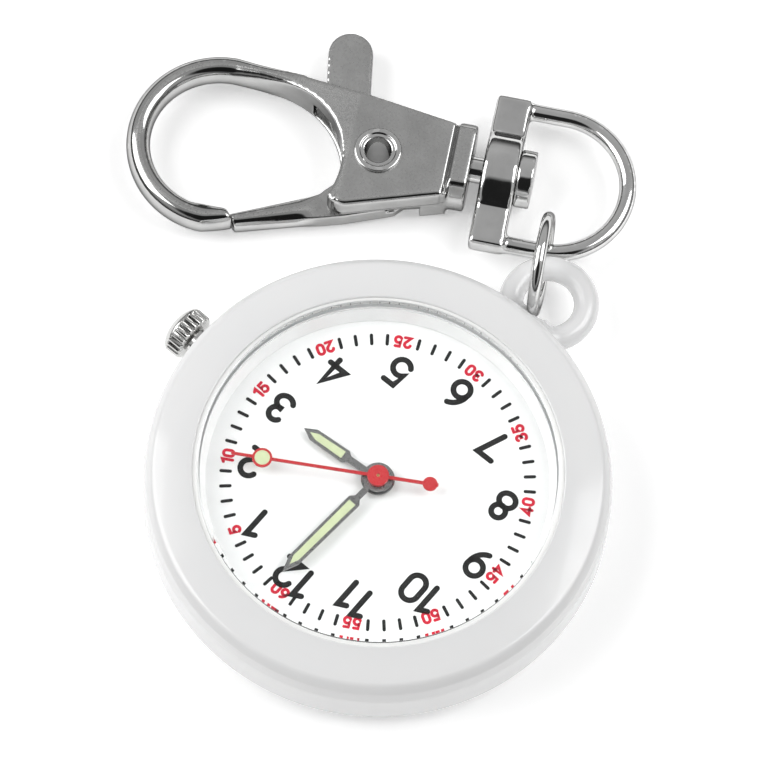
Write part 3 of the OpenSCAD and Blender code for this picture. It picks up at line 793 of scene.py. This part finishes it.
def hook_bar(points):
    """The hook's wire, from the cheeks' arm round the bend to the tip."""
    bend = [(x, y, HOOK_HALF) for x, y in arc(HOOK_X, HOOK_Y, HOOK_RADIUS, HOOK_RADIUS, 90, 270, 30)]
    line = [(-14.2, 3.87, 0.5), (-16.5, 4.09, 0.64)] + bend + [(-17.6, -7.8, 0.64), (-16.6, -7.55, 0.5)]
    arm, arm_start, arm_fade, tip_start = points[:, 1] > 0, -14.2, 3.0, -16.0
    rise = np.clip((points[:, 0] + 19.2) / 10, 0, 1) * arm
    share = np.where(arm, np.clip((arm_start - points[:, 0]) / arm_fade, 0, 1), points[:, 0] < tip_start)
    low, high = HOOK_LOW - CHEEK_DROP * rise, HOOK_HIGH + CHEEK_RISE * rise
    return oval_bar(points, line, low, high, share)


def gate_bar(points):
    """The gate's arm, from its hub to its tip."""
    line = [(-10.9, -5.36, 0.96), (-14.5, -6.73, 0.74), (-18.2, -8.12, 0.5)]
    hub_end, fade, hub_side = -10.6, 1.6, -3
    share = np.clip((hub_end - points[:, 0]) / fade, 0, 1) * (points[:, 1] < hub_side)
    return oval_bar(points, line, GATE_LOW, GATE_HIGH, share)


def body_share(points):
    """Softening on the hook's wire, the collar's flange and the upper cheek's lower edge."""
    x, y, z = points.T
    hook = 0.3 * np.clip((-13.0 - x) / 3.5, 0, 1)
    flange = 0.3 * (x > -1.5)
    # distance in from the cheek's lower edge, which runs askew
    inside = y - 0.32 * x + 2.9
    rim = 0.75 * np.clip(1 - inside / 1.2, 0, 1) * ((x > -9.6) & (x < -1.9))
    return np.maximum(np.maximum(hook, flange), np.where(z > 0.6, rim, 0))


def cut_collar_groove(mesh, place):
    """Presses the shallow groove between the body's flat and the collar's flange."""
    back = place.inverted()
    for vertex in mesh.vertices:
        point = back @ vertex.co / MM
        if point.z > 0.8 and abs(point.x - GROOVE_X) < 0.5:
            point.z -= GROOVE_DEPTH * math.exp(-((point.x - GROOVE_X) / GROOVE_HALF) ** 2)
            vertex.co = place @ (point * MM)
    return tidy_normals(mesh, 60)


def ring_share(points):
    """Full softening on the D's straight bar, little on its wire."""
    bar_end, fade, least = 3.5, 0.8, 0.15
    return np.clip(1 - (points[:, 0] - bar_end) / fade, least, 1)


def build_clasp():
    """The cast parts, softened from their CAD nodes, and the eyelet."""
    place = clasp_placing()
    body = cast_copy("clasp_body", place, VOXEL_MM, 6, body_share, 45, shape=hook_bar)
    add_piece("clasp_casting", cut_collar_groove(body, place), "satin_nickel", "clasp", ["clasp_body"])
    arm = cast_copy("gate_lever", place, VOXEL_MM, 8, shape=gate_bar)
    add_piece("gate_arm", arm, "satin_nickel", "gate", ["gate_lever"])
    ring = cast_copy("d_ring", place, VOXEL_MM, 6, ring_share, 30)
    add_piece("ring_casting", ring, "bright_nickel", "d_ring", ["d_ring"])
    pin = cast_copy("swivel_pin", place, VOXEL_MM * 0.8, 14)
    add_piece("swivel_stud", pin, "bright_nickel", "clasp", ["swivel_pin"])
    build_eyelet()


def build_eyelet():
    """Spun eyelet: rolled rims over a hollow shank."""
    low, high = mm_box("pivot_rivet")
    centre = (low + high) / 2
    move = Matrix.Translation((centre.x, centre.y, 0))
    z0, z1 = low.z, high.z
    rim, shank, bore = (high.x - low.x) / 2, 1.33, 1.0
    outline = rounded([(bore, z0, 0.12), (rim, z0, 0.1), (rim, z0 + 0.24, 0.05), (shank, z0 + 0.24, 0),
                       (shank, z1 - 0.25, 0), (rim, z1 - 0.25, 0.04), (rim, z1, 0.14), (1.42, z1, 0.08),
                       (1.3, z1 - 0.1, 0.08), (bore, z1 - 0.06, 0.14)])
    mesh = lathe("eyelet", outline, 96, move)
    add_piece("eyelet", mesh, "bright_nickel", "clasp", ["pivot_rivet"])


def build_jump_ring():
    """Split ring of round wire with cut ends almost touching."""
    low, high = mm_box("jump_ring")
    centre = (low + high) / 2
    wire = 0.46
    radius = (high.z - low.z) / 2 / math.cos(math.radians(JUMP_LEAN)) - wire
    spin = Matrix.Rotation(math.radians(JUMP_DIRECTION), 3, "Z")
    spin = spin @ Matrix.Rotation(math.radians(90 - JUMP_LEAN), 3, "Y")
    cut_turn, cut_end, wire_sweep = 35, 0.6, 356.2
    spin = spin @ Matrix.Rotation(math.radians(cut_turn), 3, "Z")
    steps = 150
    path, radii = [], []
    for i in range(steps + 1):
        a = math.radians(cut_end + wire_sweep * i / steps)
        path.append(centre + spin @ Vector((math.cos(a) * radius, math.sin(a) * radius, 0)))
        edge = min(i, steps - i)
        radii.append(wire * (1 if edge > 1 else 0.86 + 0.1 * edge))
    mesh = swept("jump_wire", path, radii, sides=32)
    add_piece("jump_wire", mesh, "bright_nickel", "jump_ring", ["jump_ring"])


# ---------------------------------------------------------------- CAD nodes that stay


BEVELS_MM = {
    "hour_hand": 0.05, "minute_hand": 0.05, "hour_lume": 0.04, "minute_lume": 0.04, "seconds_hand": 0.04,
    "seconds_lume": 0.04, "case_back": 0.08, "rehaut_ring": 0.03,
}


def dress_nodes():
    """Materials by the record's slots, and a small bevel on the parts that catch the light."""
    for part in frame["record"]["subparts"]:
        node = NODES[part["node"]]
        node.data.materials.clear()
        node.data.materials.append(MATERIALS[part["material_slot"]])
    for name, width in BEVELS_MM.items():
        bevel = NODES[name].modifiers.new("soft_edge", "BEVEL")
        bevel.width = width * MM
        bevel.segments = 2
        bevel.limit_method = "ANGLE"
        bevel.angle_limit = math.radians(40)


# ---------------------------------------------------------------- stage


def build_floor():
    """White card just under the object, lit a little from within."""
    size = 0.6
    mesh = bpy.data.meshes.new("floor")
    z = CAD_BOX[0].z - 0.03 * MM
    corners = [(-size, -size, z), (size, -size, z), (size, size, z), (-size, size, z)]
    mesh.from_pydata(corners, [], [(0, 1, 2, 3)])
    floor = new_object("floor", mesh)
    tree = Tree("floor_card")
    tree.set(Specular_IOR_Level=0.2, Emission_Color=(1, 1, 1, 1), Emission_Strength=0.28)
    base = tree.blend(tree.noise(60, 3), (0.93, 0.93, 0.93), (0.95, 0.95, 0.95))
    tree.link(base, tree.shader.inputs["Base Color"])
    tree.link(tree.spread(tree.noise(0.6, 3), 0.7, 0.85), tree.shader.inputs["Roughness"])
    mesh.materials.append(tree.material)


def direction(azimuth, elevation):
    """Unit vector towards a bearing, in degrees. Azimuth 0 is -Y and 90 is +X."""
    a, e = math.radians(azimuth), math.radians(elevation)
    return Vector((math.sin(a) * math.cos(e), -math.cos(a) * math.cos(e), math.sin(e)))


def add_lamp(name, azimuth, elevation, distance, size, power):
    """Square soft box that faces the object from a bearing."""
    lamp = bpy.data.lights.new(name, "AREA")
    lamp.energy = power
    lamp.size = size
    holder = new_object(name, lamp)
    back = direction(azimuth, elevation)
    aim = Vector((0, 4, 3)) * MM
    holder.location = aim + back * distance
    holder.rotation_mode = "QUATERNION"
    holder.rotation_quaternion = (-back).to_track_quat("-Z", "Y")


def build_room():
    """World that is pale above and darkens towards the horizon, with a black card in it."""
    world = bpy.data.worlds.new("studio")
    world.use_nodes = True
    nodes, links = world.node_tree.nodes, world.node_tree.links
    coords = nodes.new("ShaderNodeTexCoord").outputs["Generated"]
    split = nodes.new("ShaderNodeSeparateXYZ")
    links.new(coords, split.inputs[0])
    ramp = nodes.new("ShaderNodeValToRGB")
    stops = [(0.0, 0.03), (0.16, 0.05), (0.40, 0.34), (0.62, 0.36), (1.0, 0.30)]
    while len(ramp.color_ramp.elements) < len(stops):
        ramp.color_ramp.elements.new(0.5)
    for element, (place, level) in zip(ramp.color_ramp.elements, stops):
        element.position = place
        element.color = (level, level, level, 1)
    links.new(split.outputs["Z"], ramp.inputs["Fac"])
    # a black card hangs on the camera's side of the room, a little below it
    toward = nodes.new("ShaderNodeVectorMath")
    toward.operation = "DOT_PRODUCT"
    toward.inputs[1].default_value = direction(36, 47)
    links.new(coords, toward.inputs[0])
    card = nodes.new("ShaderNodeMapRange")
    for name, number in (("From Min", 0.84), ("From Max", 0.91), ("To Min", 0.0), ("To Max", 1.0)):
        card.inputs[name].default_value = number
    links.new(toward.outputs["Value"], card.inputs["Value"])
    room = nodes.new("ShaderNodeMix")
    room.data_type = "RGBA"
    links.new(card.outputs["Result"], room.inputs["Factor"])
    links.new(ramp.outputs["Color"], room.inputs[6])
    room.inputs[7].default_value = (0.012, 0.012, 0.012, 1)
    links.new(room.outputs[2], nodes["Background"].inputs["Color"])
    nodes["Background"].inputs["Strength"].default_value = 1.3
    bpy.context.scene.world = world


def build_light():
    """The room and two large soft boxes."""
    build_room()
    add_lamp("key_box", azimuth=302, elevation=44, distance=0.45, size=0.34, power=1.25)
    add_lamp("fill_box", azimuth=135, elevation=52, distance=0.5, size=0.30, power=1.05)


def build_camera():
    """Camera at the photograph's viewing angle."""
    azimuth, elevation, roll = 36.89, 68.8, math.radians(4.14)
    distance, across, upward = 0.529892, 0.000475, 0.007368
    back = direction(azimuth, elevation)
    right = Vector((math.cos(math.radians(azimuth)), math.sin(math.radians(azimuth)), 0))
    up = back.cross(right)
    side = right * math.cos(roll) + up * math.sin(roll)
    top = -right * math.sin(roll) + up * math.cos(roll)
    dial_face = Vector((0, 0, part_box("dial")[1].z))
    lens = bpy.data.cameras.new("camera")
    lens.sensor_width = 36
    lens.lens = 334.99
    lens.clip_start, lens.clip_end = 0.01, 10
    camera = new_object("camera", lens)
    camera.rotation_mode = "QUATERNION"
    turn = Matrix((side, top, back)).transposed()
    camera.rotation_quaternion = turn.to_quaternion()
    camera.location = dial_face + back * distance + side * across + top * upward
    bpy.context.scene.camera = camera


bpy.context.scene.view_settings.view_transform = "Standard"
dress_nodes()
build_case()
build_glass()
build_crown()
build_dial_print()
build_clasp()
build_jump_ring()
build_floor()
build_light()
build_camera()
